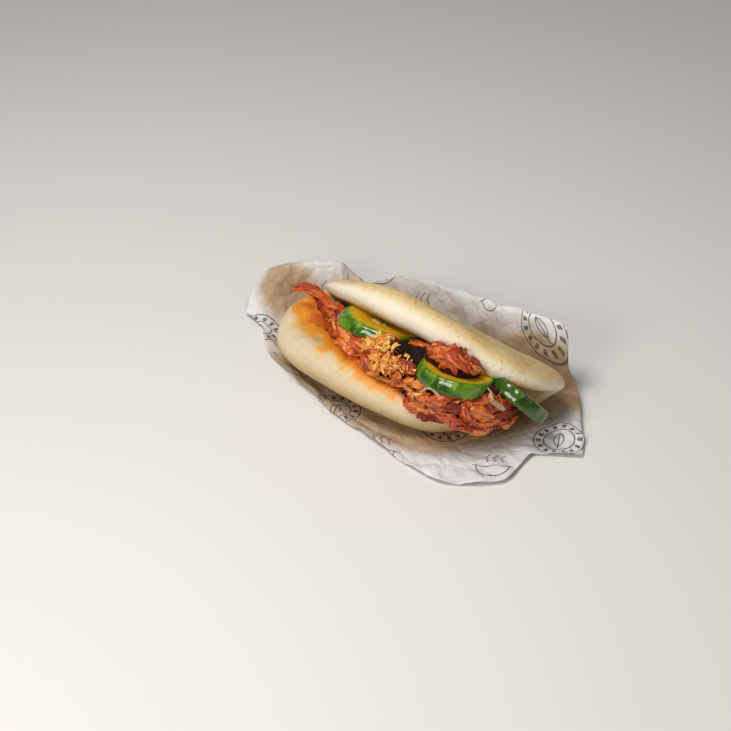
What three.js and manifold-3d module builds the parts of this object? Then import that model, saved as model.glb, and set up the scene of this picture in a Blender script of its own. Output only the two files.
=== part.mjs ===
// A gua bao: an oval of steamed bread folded over pulled pork, cucumber slices and crisp onion, on
// its sheet of greaseproof paper. Millimetres, +Z up, +X along the fold, and the mouth faces -Y.
import * as THREE from "three";
import { mergeVertices } from "three/addons/utils/BufferGeometryUtils.js";
import Module from "manifold-3d";

const wasm = await Module();
wasm.setup();

// ---- Driving dimensions ----
const LOWER_LENGTH = 123; // of the lower half, left to right
const LID_LENGTH = 118; // of the lid, along the fold from tip to tip
const LOWER_DEPTH = 47; // from the fold to the lower lip
const LID_DEPTH = 38.5; // from the fold to the lid's lip
const BREAD = 14.5; // thickness of the lower half
const LID_BREAD = 12; // thickness of the lid
const FOLD_RADIUS = 5.8; // of the bread's middle surface
const LID_OPENING = 51; // degrees between the lower half and the lid, at the left tip
const CUCUMBER = 34; // diameter of the cucumber
const SHRED = 2.6; // radius of a thick shred of pork
const PAPER = 0.5; // thickness of the sheet
const GAP = 0.3; // between pieces that touch
const SLIVER = 0.03; // the smallest detail that is kept where solids are joined and cut

const deg = THREE.MathUtils.degToRad;
const { clamp, lerp, smoothstep } = THREE.MathUtils;
const vector = (values) => new THREE.Vector3(...values);

// ---- Helpers ----

// A seeded generator, so that every build draws the same numbers.
function randomFrom(seed) {
  const modulus = 2 ** 32;
  let state = seed;
  return (low, high) => {
    state = (state * 1664525 + 1013904223) % modulus;
    return low + (high - low) * (state / modulus);
  };
}

// A geometry whose triangles share their vertices, so that it is closed.
function closed(geometry) {
  const bare = geometry.clone().deleteAttribute("normal").deleteAttribute("uv");
  return mergeVertices(bare, 1e-4);
}

// A geometry as a solid that can be joined and cut.
function solidOf(geometry) {
  const { attributes, index } = closed(geometry);
  return new wasm.Manifold(
    new wasm.Mesh({
      numProp: 3,
      vertProperties: new Float32Array(attributes.position.array),
      triVerts: new Uint32Array(index.array),
    }),
  );
}

// The largest single body of a solid, as a geometry. Scraps and sealed hollows are dropped, and so
// are slivers of a few hundredths of a millimetre that cutting leaves.
function geometryOf(solid) {
  const body = solid.decompose().sort((a, b) => b.volume() - a.volume())[0];
  const { vertProperties, triVerts } = body.simplify(SLIVER).getMesh();
  const geometry = new THREE.BufferGeometry();
  geometry.setAttribute("position", new THREE.BufferAttribute(vertProperties, 3));
  geometry.setIndex(new THREE.BufferAttribute(triVerts, 1));
  return geometry;
}

// Moves every vertex of a geometry to where place(vertex) puts it.
function reshape(geometry, place) {
  const position = geometry.attributes.position;
  const vertex = new THREE.Vector3();
  for (let i = 0; i < position.count; i++) {
    place(vertex.fromBufferAttribute(position, i));
    position.setXYZ(i, vertex.x, vertex.y, vertex.z);
  }
  return geometry;
}

function meshOf(name, geometry, color, roughness) {
  const material = new THREE.MeshStandardMaterial({ color, roughness, metalness: 0 });
  const mesh = new THREE.Mesh(closed(geometry), material);
  mesh.geometry.computeVertexNormals();
  mesh.name = name;
  return mesh;
}

// ---- Bread ----
const FLOOR = PAPER + GAP; // lowest height of what lies on the sheet
const LOWER_CUP = deg(24); // how far the lower half curls up towards its lip, at the left
const LOWER_SAG = 0.6; // share of that curl which the filling presses flat, at the right
const LEFT_LIFT = 6; // how much higher the lower half's left end curls up beside the fold
const LID_CROWN = deg(3); // how far the lid curls down towards its lip
const LID_DROOP = deg(13); // how much lower the lid hangs at its right end
const LID_ENDS = deg(10); // how much it closes towards both tips
const LOWER_SLIP = -12; // the halves are askew: the lower lip lies this far to the left
const LID_SLIP = 6; // and the lid's lip to the right
const RIGHT_SHORT = 0.2; // share of its half length by which the lower half ends short at the right
const LEFT_TAPER = 0.42; // share of its thickness that the lid loses at its left tip
const RIGHT_TAPER = 0.3;
const PUFF = 0.18; // how much thicker the middle of each half is than its edge
const LOWER_FULLNESS = 2.7; // above 2 the outline's corners are fuller than an ellipse's
const LID_FULLNESS = 2.4;
const RIM = 0.13; // share of the oval's radius that the round rim takes
const FACE_RINGS = 7;
const RIM_STEPS = 6;
const BREAD_SECTORS = 64;

// How far the bread turns round the fold at a place along it.
function foldTurn(x) {
  const end = x / (LID_LENGTH / 2);
  const droop = LID_DROOP * Math.max((1 + end) / 2, 0) ** 1.5;
  return Math.PI - deg(LID_OPENING) + droop + LID_ENDS * end ** 2;
}

// The bread's middle surface in side view. s runs from the lower lip (negative) through the fold's
// start (0) and round it to the lid's lip. Returns y, z and the heading of growing s.
function middle(x, s) {
  const turn = foldTurn(x);
  const foldEnd = FOLD_RADIUS * turn;
  const floor = FLOOR + BREAD / 2;
  if (s < 0) {
    const k = (LOWER_CUP * (1 - LOWER_SAG * smoothstep(x, -35, 30))) / LOWER_DEPTH;
    return { y: Math.sin(k * s) / k, z: floor + (1 - Math.cos(k * s)) / k, heading: k * s };
  }
  if (s < foldEnd) {
    const heading = s / FOLD_RADIUS;
    const z = floor + FOLD_RADIUS * (1 - Math.cos(heading));
    return { y: FOLD_RADIUS * Math.sin(heading), z, heading };
  }
  const k = LID_CROWN / LID_DEPTH;
  const heading = turn + k * (s - foldEnd);
  return {
    y: FOLD_RADIUS * Math.sin(turn) + (Math.sin(heading) - Math.sin(turn)) / k,
    z: floor + FOLD_RADIUS * (1 - Math.cos(turn)) + (Math.cos(turn) - Math.cos(heading)) / k,
    heading,
  };
}

// A point of the bread. u and v (-1 to 1) are places on the flat oval, along and across the fold,
// and out is the distance from the middle surface, positive on the outer face.
function breadPoint(u, v, out) {
  const foldMiddle = (FOLD_RADIUS * foldTurn(0)) / 2;
  const reach = v < 0 ? LOWER_DEPTH + foldMiddle : LID_DEPTH + foldMiddle;
  const half = lerp(LID_LENGTH, LOWER_LENGTH, smoothstep(-v, 0, 0.5)) / 2;
  const short = RIGHT_SHORT * smoothstep(u, 0.2, 1) * smoothstep(-v, -0.15, 0.25);
  const x = half * u * (1 - short) + (v < 0 ? LOWER_SLIP * -v : LID_SLIP * v);
  const at = middle(x, foldMiddle + v * reach);
  const y = at.y + out * Math.sin(at.heading);
  const lift = LEFT_LIFT * smoothstep(-x, 32, 62) * (1 - smoothstep(Math.abs(v + 0.25), 0.1, 0.6));
  return new THREE.Vector3(x, y, at.z - out * Math.cos(at.heading) + lift);
}

// Half the bread's thickness at a place of the oval, r from its centre (0 to 1).
function halfThickness(u, v, r) {
  const bread = lerp(BREAD, LID_BREAD, smoothstep(v, -0.1, 0.1));
  const puff = 1 + PUFF * (1 - r * r) * smoothstep(Math.abs(v), 0.1, 0.5);
  const loss = LEFT_TAPER * smoothstep(-u, 0.25, 1) + RIGHT_TAPER * smoothstep(u, 0.6, 1);
  return (bread / 2) * puff * (1 - loss * smoothstep(v, -0.2, 0.1));
}

// The bread, or with grow above 0 the space that it needs with that much around it.
function breadGeometry(grow) {
  const profile = [];
  for (let i = 0; i < FACE_RINGS; i++) profile.push([(i / FACE_RINGS) * (1 - RIM), -1]);
  for (let i = 0; i <= RIM_STEPS; i++) {
    const angle = (i / RIM_STEPS) * Math.PI;
    profile.push([1 - RIM + RIM * Math.sin(angle), -Math.cos(angle)]);
  }
  for (let i = FACE_RINGS - 1; i >= 0; i--) profile.push([(i / FACE_RINGS) * (1 - RIM), 1]);
  const outline = profile.map(([r, h]) => new THREE.Vector2(r, h));
  return reshape(new THREE.LatheGeometry(outline, BREAD_SECTORS), (p) => {
    const r = Math.hypot(p.x, p.z);
    const angle = Math.atan2(p.z, p.x);
    const power = p.z < 0 ? LOWER_FULLNESS : LID_FULLNESS;
    const sum = Math.abs(Math.cos(angle)) ** power + Math.abs(Math.sin(angle)) ** power;
    const edge = (1 + (2 * grow) / LID_LENGTH) * sum ** (-1 / power);
    const u = r * Math.cos(angle) * edge;
    const v = r * Math.sin(angle) * edge;
    const out = p.y * halfThickness(u, v, r) + Math.sign(p.y) * grow;
    p.copy(breadPoint(u, v, out));
    p.z = Math.max(p.z, FLOOR - grow);
  });
}

// ---- Cucumber ----
// Each slice is a disc cut on the slant. along and across are the directions of its oval face,
// stretch is how much longer than wide the face is, and through is the cucumber's own axis.
const SLICES = {
  cucumber_left: {
    centre: [-15, -17.4, 28.2],
    along: [0.87, 0.44, -0.23],
    across: [0.5, -0.81, 0.3],
    through: [0.45, 0.58, 0.68],
    stretch: 1.02,
    thickness: 5.7,
  },
  cucumber_middle: {
    centre: [29, -28.4, 28.3],
    along: [0.86, 0.48, -0.18],
    across: [0.51, -0.8, 0.3],
    through: [0.12, 0.47, 0.88],
    stretch: 0.88,
    thickness: 6.4,
  },
  cucumber_right: {
    centre: [48, -12.3, 17.2],
    along: [0.84, 0.17, -0.51],
    across: [0.49, -0.68, 0.54],
    through: [0.25, 0.7, 0.67],
    stretch: 0.86,
    thickness: 6,
  },
};
const SLICE_SECTORS = 32;
const SKIN_ROUND = 0.07; // share of the radius that the skin's rounded edge takes
const SKIN_BELLY = 0.015; // and that it bulges between the faces

// A slice, or with grow above 0 the space that it needs.
function sliceGeometry({ centre, along, across, through, stretch, thickness }, grow) {
  const half = [
    [0, 0.5],
    [0.55, 0.5],
    [1 - SKIN_ROUND, 0.5],
    [1, 0.38],
  ];
  const mirrored = half.map(([r, h]) => [r, -h]).reverse();
  const outline = [...half, [1 + SKIN_BELLY, 0], ...mirrored]
    .reverse()
    .map(([r, h]) => new THREE.Vector2(r, h));
  const length = (CUCUMBER / 2) * stretch + grow;
  const width = CUCUMBER / 2 + grow;
  return reshape(new THREE.LatheGeometry(outline, SLICE_SECTORS), (p) => {
    const { x, y, z } = p;
    p.copy(vector(centre));
    p.addScaledVector(vector(along), x * length);
    p.addScaledVector(vector(across), z * width);
    p.addScaledVector(vector(through), y * (thickness + 2 * grow));
  });
}

// ---- Pulled pork ----
// The core of the heap is a roll along the fold, [x, y, z, radius, reach towards the lid]; the
// bread and the slices are cut out of it, and what shows of the filling is fused onto it.
const HEAP = [
  [-60, -8, 18, 3, 3],
  [-43, -14, 20, 6, 4],
  [-25, -21, 21, 12, 5],
  [-5, -25, 21.5, 14, 6],
  [12, -26, 23, 15.5, 9],
  [26, -27, 25, 16.5, 9],
  [37, -26, 24, 16, 8],
  [47, -22, 19, 11, 5],
  [53, -18, 16, 5, 3],
];
const HEAP_LENGTH = 113;
const LID_SIDE = deg(225); // direction from the heap's axis to the lid, as angle in heapPoint
// The dark dip between two slices: its depth as a share of the radius, and its place and half
// width, both as [share along the heap, angle round it].
const HOLLOW = { depth: 0.45, place: [0.49, 2.75], width: [0.045, 0.5] };
const SHREDS = 38;
const FLAKES = 16;
// Shreds that leave the heap: one out of the left end, and the spill over the lower lip.
const LOOSE = [
  { radius: 2.8, points: [[-70, -9, 19], [-63, -8, 22], [-55, -9, 23], [-47, -13, 24], [-38, -19, 25]] },
  { radius: 4.5, points: [[18, -36, 23], [28, -38, 21], [38, -34, 17], [47, -27, 15]] },
  { radius: 4, points: [[34, -32, 19], [43, -29, 16], [49, -21, 16], [50, -14, 17]] },
  { radius: 2.6, points: [[24, -40, 22], [33, -41, 18], [41, -36, 13], [46, -31, 10]] },
  { radius: 2.2, points: [[40, -29, 19], [47, -27, 16], [51, -21, 12], [52, -17, 11]] },
];
const heapLine = new THREE.CatmullRomCurve3(HEAP.map(([x, y, z]) => new THREE.Vector3(x, y, z)));
const heapSize = new THREE.CatmullRomCurve3(HEAP.map(([x, , , r, d]) => new THREE.Vector3(x, r, d)));

// A point of the heap's surface: share along it, angle round it (0 faces the table, growing
// towards the mouth) and height above the core.
function heapPoint(share, angle, above) {
  const at = heapLine.getPoint(share);
  const size = heapSize.getPoint(share);
  const swell = 0.07 * Math.sin(share * 23 + 2 * Math.sin(angle * 2));
  const lumps = swell + 0.05 * Math.sin(angle * 5 + share * 9);
  const offShare = (share - HOLLOW.place[0]) / HOLLOW.width[0];
  const offAngle = (angle - HOLLOW.place[1]) / HOLLOW.width[1];
  const dip = HOLLOW.depth * Math.exp(-(offShare ** 2) - offAngle ** 2);
  const round = size.y * (1 + lumps - dip);
  const towardsLid = Math.cos(angle - LID_SIDE);
  const limit = towardsLid > 0.05 ? size.z / towardsLid : round;
  const radius = Math.min(round, limit) + above;
  at.y -= radius * Math.sin(angle);
  at.z -= radius * Math.cos(angle);
  return at;
}

function coreGeometry() {
  const half = 1.5; // half length of the capsule
  const roll = new THREE.CapsuleGeometry(1, 1, 3, 14, 18);
  return reshape(roll, (p) => {
    const share = clamp((p.y / half + 1) / 2, 0, 1);
    const round = Math.min(Math.hypot(p.x, p.z), 1);
    const angle = Math.atan2(-p.x, p.z);
    const axis = heapLine.getPoint(share);
    p.copy(heapPoint(share, angle, 0).sub(axis).multiplyScalar(round).add(axis));
  });
}

// A shred that tapers to both ends, along a curve through the points.
function shredGeometry(points, radius, sides) {
  const curve = new THREE.CatmullRomCurve3(points);
  const rings = 5;
  const outline = [];
  for (let i = 0; i <= rings; i++) {
    const t = i / rings;
    const r = i === 0 || i === rings ? 0 : 0.55 + 0.45 * Math.sin(t * Math.PI);
    outline.push(new THREE.Vector2(r, t));
  }
  const up = new THREE.Vector3(0.2, 0.3, 1).normalize();
  return reshape(new THREE.LatheGeometry(outline, sides), (p) => {
    const { x, y, z } = p;
    const heading = curve.getTangent(y);
    const side = new THREE.Vector3().crossVectors(heading, up).normalize();
    const rise = new THREE.Vector3().crossVectors(side, heading);
    p.copy(curve.getPoint(y)).addScaledVector(side, x * radius).addScaledVector(rise, z * radius);
  });
}

// A bent shred lying on the heap, with its middle at the given share and angle.
function shredOnHeap(random, share, angle) {
  const radius = SHRED * random(0.6, 1);
  const turn = random(-Math.PI, Math.PI);
  const reach = random(4.5, 9);
  const size = heapSize.getPoint(share).y;
  const points = [-1, 0, 1].map((end) => {
    const offShare = (end * reach * Math.cos(turn)) / HEAP_LENGTH;
    const offAngle = (end * reach * Math.sin(turn)) / size;
    const above = radius * (end === 0 ? random(0.2, 0.6) : random(-0.5, 0.7));
    return heapPoint(clamp(share + offShare, 0.02, 0.98), angle + offAngle, above);
  });
  return shredGeometry(points, radius, 6);
}

// A flat crisp flake of onion lying on the heap.
function flakeOnHeap(random, share, angle) {
  const flake = new THREE.IcosahedronGeometry(1, 0);
  flake.scale(random(2.2, 4), random(1.2, 2), random(0.5, 0.8));
  flake.rotateX(random(-0.7, 0.7)).rotateY(random(-0.7, 0.7)).rotateZ(random(0, Math.PI));
  const at = heapPoint(share, angle, random(1.2, 2.4));
  return flake.translate(at.x, at.y, at.z);
}

// The core with its shreds and flakes, before bread and slices are cut out of it.
function heapSolid() {
  const random = randomFrom(7);
  const pieces = [];
  for (let i = 0; i < SHREDS; i++) {
    const share = lerp(0.18, 0.93, (i + random(0, 1)) / SHREDS);
    const span = share < 0.75 ? 1.5 + 0.5 * share : 1;
    const angle = 0.95 + span * ((i * 0.618 + random(0, 0.2)) % 1);
    pieces.push(shredOnHeap(random, share, angle));
  }
  for (let i = 0; i < FLAKES; i++) {
    pieces.push(flakeOnHeap(random, random(0.3, 0.8), random(1.2, 2.2)));
  }
  for (const { points, radius } of LOOSE) {
    pieces.push(shredGeometry(points.map(vector), radius, 8));
  }
  return pieces.reduce((heap, piece) => heap.add(solidOf(piece)), solidOf(coreGeometry()));
}

// ---- Paper ----
// One sheet, flat under the bread. Its edge is a closed curve through these points, [x, y, z] on
// the sheet's underside: it stands up behind the fold, curls round the left end, and lies on the
// table with two corners at the front and right.
const PAPER_EDGE = [
  [67, 8, 0],
  [58, 20, 3],
  [51, 23, 12],
  [47, 26, 29],
  [34, 25, 30],
  [16, 25, 27],
  [-4, 27, 24],
  [-24, 29, 22],
  [-41, 30, 16],
  [-53, 26, 9],
  [-60, 24, 12],
  [-67, 19, 20],
  [-79, 9, 20],
  [-88, -2, 19],
  [-91, -9, 11],
  [-91, -15, 2],
  [-79, -18, 0],
  [-74, -25, 2],
  [-62, -33, 0],
  [-42, -41, 2],
  [-18, -48, 0],
  [5, -53, 1],
  [26, -57, 0],
  [45, -58, 0],
  [63, -43, 0],
  [63, -22, 0],
  [79, -11, 0],
];
const SHEET_CENTRE = [-6, -15];
const FOOT_LENGTH = 68; // half axes of the oval that lies flat under the bread
const FOOT_DEPTH = 32;
const LARGEST_FOOT = 0.86; // share of the way out that the flat oval reaches at most
const CREASE_HEIGHT = 0.9;
// The folds of the crumpled sheet: radians per mm along x and y, and a start.
const CREASES = [
  [0.11, 0.05, 0.4],
  [-0.04, 0.16, 1.1],
  [0.21, -0.09, 2.0],
  [0.07, 0.25, 0.9],
];
const PAPER_RINGS = 7;
const EDGE_STEPS = 4; // sectors of the sheet from one point of its edge to the next
const edgePoints = PAPER_EDGE.map(([x, y, z]) => new THREE.Vector3(x, y, z + PAPER / 2));
const paperEdge = new THREE.CatmullRomCurve3(edgePoints, true, "catmullrom", 0.25);

// The middle of the sheet at a turn (0 to 1) round its edge and a share r of the way out.
function paperPoint(turn, r) {
  const edge = paperEdge.getPoint(((turn % 1) + 1) % 1);
  const dx = edge.x - SHEET_CENTRE[0];
  const dy = edge.y - SHEET_CENTRE[1];
  const x = SHEET_CENTRE[0] + dx * r;
  const y = SHEET_CENTRE[1] + dy * r;
  const foot = Math.min(1 / Math.hypot(dx / FOOT_LENGTH, dy / FOOT_DEPTH), LARGEST_FOOT);
  const rise = clamp((r - foot) / (1 - foot), 0, 1);
  const folds = CREASES.map(([kx, ky, start]) => Math.abs(Math.sin(kx * x + ky * y + start)));
  const crumple = CREASE_HEIGHT * (folds[0] * folds[1] + folds[2] * folds[3]);
  const z = PAPER / 2 + (edge.z - PAPER / 2) * rise ** 1.4 + crumple * rise;
  return new THREE.Vector3(x, y, z);
}

function paperGeometry() {
  const outline = [];
  for (let i = 0; i <= PAPER_RINGS; i++) outline.push(new THREE.Vector2(i / PAPER_RINGS, -1));
  for (let i = PAPER_RINGS; i >= 0; i--) outline.push(new THREE.Vector2(i / PAPER_RINGS, 1));
  const step = 0.002; // share of the sheet over which its slope is measured
  const sheet = new THREE.LatheGeometry(outline, PAPER_EDGE.length * EDGE_STEPS);
  return reshape(sheet, (p) => {
    const r = Math.hypot(p.x, p.z);
    const turn = Math.atan2(-p.z, p.x) / (2 * Math.PI);
    const side = p.y; // -1 below, 1 above
    const normal = new THREE.Vector3(0, 0, 1);
    if (r > step) {
      const outward = paperPoint(turn, Math.min(r + step, 1)).sub(paperPoint(turn, r - step));
      const around = paperPoint(turn + step, r).sub(paperPoint(turn - step, r));
      normal.crossVectors(outward, around).normalize();
    }
    p.copy(paperPoint(turn, r)).addScaledVector(normal, (side * PAPER) / 2);
    p.z = Math.max(p.z, 0);
  });
}

// ---- Assembly ----
const meshes = [meshOf("bun", breadGeometry(0), 0xf0e2c4, 0.55)];
let taken = solidOf(breadGeometry(GAP)); // the space that later pieces are kept out of
for (const [name, slice] of Object.entries(SLICES)) {
  const solid = solidOf(sliceGeometry(slice, 0)).subtract(taken);
  meshes.push(meshOf(name, geometryOf(solid), 0x4f8a2c, 0.35));
  taken = taken.add(solidOf(sliceGeometry(slice, GAP)));
}
meshes.push(meshOf("pork", geometryOf(heapSolid().subtract(taken)), 0xa8492a, 0.5));
meshes.push(meshOf("paper", paperGeometry(), 0xe9e9ec, 0.7));

const group = new THREE.Group();
group.add(...meshes);

// The origin is at the middle of the whole, on the table.
const box = new THREE.Box3().setFromObject(group, true);
const middlePoint = box.getCenter(new THREE.Vector3());
group.position.set(-middlePoint.x, -middlePoint.y, -box.min.z);

export default group;
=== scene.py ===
# %% [markdown]
# # A gua bao on its sheet of paper
#
# A gua bao is an oval of steamed dough, folded over a filling. Here the filling is pulled pork,
# cucumber and crisp onion. This script gives a imported CAD model of one its looks.
#
# The CAD model comes first, as a fixed frame that nothing here moves. Every new piece is made in
# that same frame, in metres, and hides the CAD node that it stands for, if it has one, so that the
# looks stay where the solids are. The model's own box is kept for a last comparison of sizes.

# %% The imported model as the frame
import math
import random

import bmesh
import bpy
from mathutils import Matrix, Vector, noise
from mathutils.bvhtree import BVHTree
from mathutils.kdtree import KDTree


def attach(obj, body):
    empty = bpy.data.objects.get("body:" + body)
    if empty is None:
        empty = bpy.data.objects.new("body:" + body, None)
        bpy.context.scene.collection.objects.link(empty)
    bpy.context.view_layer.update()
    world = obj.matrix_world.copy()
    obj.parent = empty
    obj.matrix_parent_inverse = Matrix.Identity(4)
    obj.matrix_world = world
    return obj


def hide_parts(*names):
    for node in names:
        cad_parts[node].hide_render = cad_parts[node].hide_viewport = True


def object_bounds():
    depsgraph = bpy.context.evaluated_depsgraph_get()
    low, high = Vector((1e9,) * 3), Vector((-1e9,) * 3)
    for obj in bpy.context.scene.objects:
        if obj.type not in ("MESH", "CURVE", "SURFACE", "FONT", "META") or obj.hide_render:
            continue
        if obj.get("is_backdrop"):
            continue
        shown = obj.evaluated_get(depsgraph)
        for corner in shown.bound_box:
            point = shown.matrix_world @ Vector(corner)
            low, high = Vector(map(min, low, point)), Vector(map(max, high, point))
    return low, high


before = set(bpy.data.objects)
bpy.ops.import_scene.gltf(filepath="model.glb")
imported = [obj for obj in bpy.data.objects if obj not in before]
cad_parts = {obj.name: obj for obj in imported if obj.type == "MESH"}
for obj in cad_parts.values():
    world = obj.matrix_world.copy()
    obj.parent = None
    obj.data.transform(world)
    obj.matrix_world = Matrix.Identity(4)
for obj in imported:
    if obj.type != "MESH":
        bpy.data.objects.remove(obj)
cad_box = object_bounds()
print("CAD nodes:", ", ".join(sorted(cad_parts)))

# %% [markdown]
# ## Units and a place to work in
#
# Food is easiest to think of in millimetres, with zero in the middle of the fold and on the table.
# x runs along the fold, y away from the open mouth and z up. Blender and the frame want metres and
# another origin, so one function turns a millimetre place into a Blender place. Python numbers
# stay readable this way, and the change of units happens once.

# %% Millimetres to the frame
MM = 0.001
SHIFT = Vector((6.255, 14.125, 0))  # from the middle of the fold to the frame's origin


def in_frame(place):
    return (Vector(place) + SHIFT) * MM


def smoothstep(value, low, high):
    share = min(max((value - low) / (high - low), 0), 1)
    return share * share * (3 - 2 * share)


def mix(a, b, share):
    return a + (b - a) * share


print("the middle of the fold is at", tuple(round(x, 4) for x in in_frame((0, 0, 0))))

# %% [markdown]
# ## The camera
#
# The picture looks down at the bun from its front right, 36 degrees above the table, through a
# fairly long lens, so that the bun hardly narrows with distance. The camera is placed by turning
# those two angles into a direction and stepping back along it, which is easier to adjust than a
# bare position.

# %% Camera
AZIMUTH = math.radians(37)
ELEVATION = math.radians(36)
LENS = 90  # mm, on a sensor 36 mm wide
DISTANCE = 761.46
AIM = Vector((-21.083, -20.487, 6.944))


def direction_of(azimuth, elevation):
    """The unit vector from the object to a viewer or lamp at these angles, in radians."""
    level = math.cos(elevation)
    return Vector((math.sin(azimuth) * level, -math.cos(azimuth) * level, math.sin(elevation)))


def look_from(thing, azimuth, elevation, distance, aim):
    away = direction_of(azimuth, elevation)
    thing.location = in_frame(aim + away * distance)
    thing.rotation_euler = away.to_track_quat("Z", "Y").to_euler()


camera = bpy.data.objects.new("camera", bpy.data.cameras.new("camera"))
bpy.context.scene.collection.objects.link(camera)
camera.data.lens = LENS
look_from(camera, AZIMUTH, ELEVATION, DISTANCE, AIM)
bpy.context.scene.camera = camera
print("camera at", tuple(round(x, 3) for x in camera.location))

# %% [markdown]
# ## Shader maths in plain Python
#
# A procedural finish is a web of nodes, and wiring it by hand takes a line for every link. Here a
# small class wraps the output of a node. Adding or multiplying two of them adds the Math node, so
# a formula reads like a formula. Vectors use Vector Math in the same way.
#
# Any other node comes from one method, which sets the node's own settings and then its sockets.

# %% A wire, and a finish that holds its nodes
class Wire:
    """One output of a shader node. Arithmetic on it adds a Math or a Vector Math node."""

    def __init__(self, finish, socket):
        self.finish = finish
        self.socket = socket

    def maths(self, operation, *values):
        kind = "ShaderNodeVectorMath" if self.socket.type == "VECTOR" else "ShaderNodeMath"
        return self.finish.add(kind, {"operation": operation}, dict(enumerate(values)))

    def __add__(self, other):
        return self.maths("ADD", self, other)

    def __radd__(self, other):
        return self.maths("ADD", other, self)

    def __sub__(self, other):
        return self.maths("SUBTRACT", self, other)

    def __rsub__(self, other):
        return self.maths("SUBTRACT", other, self)

    def __mul__(self, other):
        return self.maths("MULTIPLY", self, other)

    def __rmul__(self, other):
        return self.maths("MULTIPLY", other, self)

    def __truediv__(self, other):
        return self.maths("DIVIDE", self, other)

    def __abs__(self):
        return self.maths("ABSOLUTE", self)

    def __pow__(self, other):
        return self.maths("POWER", self, other)

    def most(self, other):
        return self.maths("MAXIMUM", self, other)

    def fade(self, low, high):
        """0 below low, 1 above high, and a smooth step between. low may be the larger."""
        settings = {"interpolation_type": "SMOOTHSTEP"}
        return self.finish.add("ShaderNodeMapRange", settings, {0: self, 1: low, 2: high})


class Finish:
    """A material with its nodes. Its shader is a Principled BSDF."""

    def __init__(self, name, **constants):
        self.material = bpy.data.materials.new(name)
        self.material.use_nodes = True
        self.nodes = self.material.node_tree.nodes
        self.shader = self.nodes["Principled BSDF"]
        for socket, value in constants.items():
            self.feed(self.shader.inputs[socket.replace("_", " ")], value)

    def feed(self, socket, value):
        if isinstance(value, Wire):
            self.material.node_tree.links.new(value.socket, socket)
        else:
            socket.default_value = value

    def add(self, kind, settings=None, inputs=None, output=0):
        """Adds any node: its settings first, a ramp's stops among them, and then its sockets."""
        node = self.nodes.new(kind)
        for name, value in (settings or {}).items():
            if name == "stops":
                elements = node.color_ramp.elements
                while len(elements) < len(value):
                    elements.new(0.5)
                for stop, (place, colour) in zip(elements, value):
                    stop.position = place
                    stop.color = paint(colour)
            else:
                setattr(node, name, value)
        for name, value in (inputs or {}).items():
            self.feed(node.inputs[name], value)
        return Wire(self, node.outputs[output])

    def wear(self, **sockets):
        """Feeds the shader's own sockets, such as Base_Color=mottled."""
        for name, value in sockets.items():
            self.feed(self.shader.inputs[name.replace("_", " ")], value)
        print(self.material.name, "has", len(self.nodes), "nodes")


def paint(colour):
    """A colour as it is written for a screen, 'f2e4c6', as the linear light that shaders use."""
    parts = [int(colour[i : i + 2], 16) / 255 for i in (0, 2, 4)]
    return [x / 12.92 if x <= 0.04045 else ((x + 0.055) / 1.055) ** 2.4 for x in parts] + [1]


print("cream is", [round(x, 3) for x in paint("f2e4c6")])

# %% [markdown]
# ## Nodes that several finishes share
#
# Real surfaces vary at several sizes at once. A noise whose grain is given in millimetres is easy
# to match to a photograph, so the object's own coordinates are first turned into millimetres. A
# piece may also carry values on its points, such as how stained it is there, and an Attribute node
# reads them back.

# %% Noise in millimetres, colours and bumps
def place_in_mm(finish):
    spot = finish.add("ShaderNodeTexCoord", output="Object")
    return finish.add("ShaderNodeVectorMath", {"operation": "SCALE"}, {0: spot, "Scale": 1 / MM})


def carried(finish, name, output="Fac"):
    return finish.add("ShaderNodeAttribute", {"attribute_name": name}, output=output)


def grain(finish, place, size, detail=2.0, rough=0.5):
    """Noise from 0 to 1 whose lumps are about size mm across."""
    inputs = {"Vector": place, "Scale": 1 / size, "Detail": detail, "Roughness": rough}
    return finish.add("ShaderNodeTexNoise", {"noise_dimensions": "3D"}, inputs)


def tint(finish, share, first, second):
    """A colour between two others. Each is a wire or a colour as written for a screen."""
    colours = [c if isinstance(c, Wire) else paint(c) for c in (first, second)]
    inputs = {0: share, 6: colours[0], 7: colours[1]}
    return finish.add("ShaderNodeMix", {"data_type": "RGBA"}, inputs, 2)


def ramp(finish, value, *stops):
    """A colour that runs through (place, colour) stops as the value goes from 0 to 1."""
    return finish.add("ShaderNodeValToRGB", {"stops": stops}, {"Fac": value})


def cells(finish, place, size, feature="F1"):
    """Distances in a pattern of cells about size mm across, from their middles or their edges."""
    inputs = {"Vector": place, "Scale": 1 / size}
    return finish.add("ShaderNodeTexVoronoi", {"feature": feature}, inputs, "Distance")


def bump(finish, height, depth):
    """A normal for a height from 0 to 1 that stands for depth mm."""
    return finish.add("ShaderNodeBump", None, {"Height": height, "Distance": depth * MM}, "Normal")


# %% [markdown]
# ## Turning parts into pieces
#
# Every piece below is a plain list of points and faces worked out in Python. A list suits dough,
# slices and shreds well, because each is a simple form bent by a formula. One function makes the
# Blender object, turns its faces outwards, gives it its finish and ties it to the frame.
#
# A closed round form, such as the dough or a slice, starts as a profile that is turned round an
# axis. The function that places each point then bends it into shape.

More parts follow.
